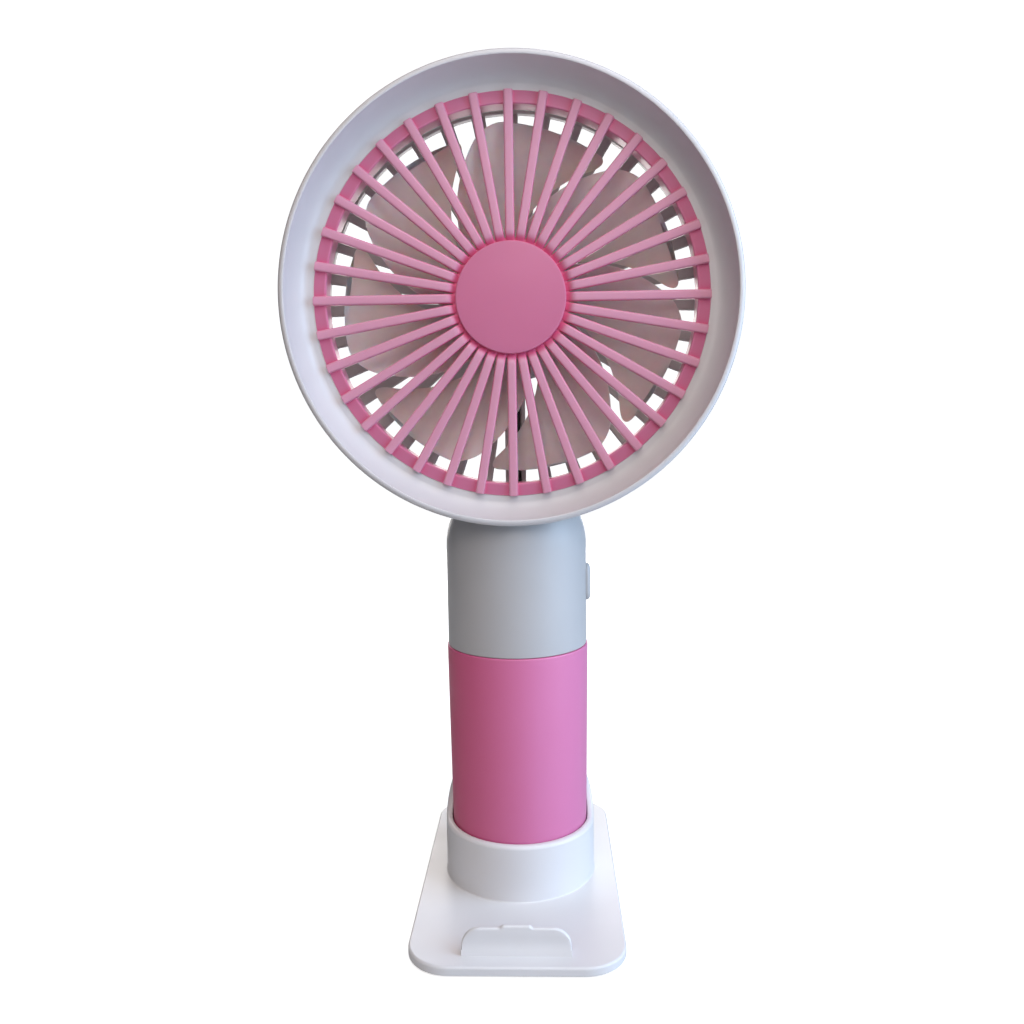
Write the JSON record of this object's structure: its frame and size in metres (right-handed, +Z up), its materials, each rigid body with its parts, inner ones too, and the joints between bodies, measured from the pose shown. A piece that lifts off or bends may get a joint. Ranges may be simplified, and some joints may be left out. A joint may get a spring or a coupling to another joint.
{
  "type": "handheld electric fan",
  "caption": "Handheld electric fan with a round head, radial grille and cylindrical handle, standing upright in a small desk base with a phone stop.",
  "frame": {"origin": "on the desk plane, under the axis of the round handle, at the bottom face of the anti-slip pad", "axes": "+Z up along the handle, -Y the way the air blows and the phone stop's side, +X the power button's side"},
  "size_m": [0.0962, 0.0785, 0.1839],
  "materials": {
    "shell_white": "satin, fine moulded grain",
    "base_white": "satin, fine moulded grain",
    "housing_grey": "satin, fine moulded grain",
    "sleeve_pink": "satin soft-touch paint",
    "grille_pink": "satin moulded plastic",
    "blade_milky": "milky translucent, smooth",
    "inner_plastic": "plain moulded",
    "pad_rubber": "matt",
    "cell_wrap": "cell can in a heat-shrunk sleeve",
    "nickel": "bright nickel plate",
    "insulator_card": "matt fish paper",
    "wire_red": "smooth insulation",
    "wire_black": "smooth insulation",
    "screw_steel": "zinc plated",
    "board_green": "solder mask",
    "chip_black": "matt moulded",
    "led_lens": "clear moulded",
    "clear_acrylic": "frosted end",
    "ceramic_tan": "matt",
    "magnet_dark": "matt sintered",
    "washer_nylon": "smooth",
    "bush_bronze": "oiled sintered",
    "core_steel": "stacked sheets",
    "winding_copper": "enamelled"
  },
  "bodies": {
    "base": {"base_stand": "base_white", "base_pad": "pad_rubber"},
    "socket_disc": {"socket_pad": "pad_rubber"},
    "handle": {"bottom_cap": "sleeve_pink", "handle_sleeve": "sleeve_pink", "handle_chassis": "inner_plastic", "battery_cell": "cell_wrap", "battery_tabs": "nickel", "battery_insulators": "insulator_card", "battery_wires": "wire_red", "neck_shell": "shell_white", "neck_screws": "screw_steel", "board_screws": "screw_steel", "control_board": "board_green", "usb_port": "nickel", "charge_led": "led_lens", "light_pipe": "clear_acrylic", "charge_chip": "chip_black", "boost_inductor": "chip_black", "chip_capacitors": "ceramic_tan", "tact_switch": "chip_black", "head_bezel": "shell_white", "front_grille": "grille_pink", "grille_hub_cap": "grille_pink", "rear_housing": "housing_grey", "bearing_bush": "bush_bronze", "stator_core": "core_steel", "stator_windings": "winding_copper", "motor_board": "board_green", "hall_sensor": "chip_black", "motor_wires": "wire_black"},
    "rotor": {"fan_rotor": "blade_milky", "rotor_yoke": "screw_steel", "magnet_ring": "magnet_dark", "motor_shaft": "screw_steel", "thrust_washer": "washer_nylon", "shaft_clip": "washer_nylon"},
    "button": {"power_button": "shell_white", "switch_plunger": "chip_black"}
  },
  "joints": [
    {"name": "handle_swivel", "type": "hinge", "parent": "base", "child": "socket_disc", "pos_m": [0, 0, 0.003], "axis": [0, 0, 1], "continuous": true},
    {"name": "handle_lift", "type": "slide", "parent": "socket_disc", "child": "handle", "axis": [0, 0, 1], "range_m": [0, 0.06]},
    {"name": "rotor_spin", "type": "hinge", "parent": "handle", "child": "rotor", "pos_m": [0, -0.0039, 0.1358], "axis": [0, 1, 0], "continuous": true},
    {"name": "button_press", "type": "slide", "parent": "handle", "child": "button", "axis": [-1, 0, 0], "range_m": [0, 0.0005], "stiffness_N_per_m": 20}
  ]
}
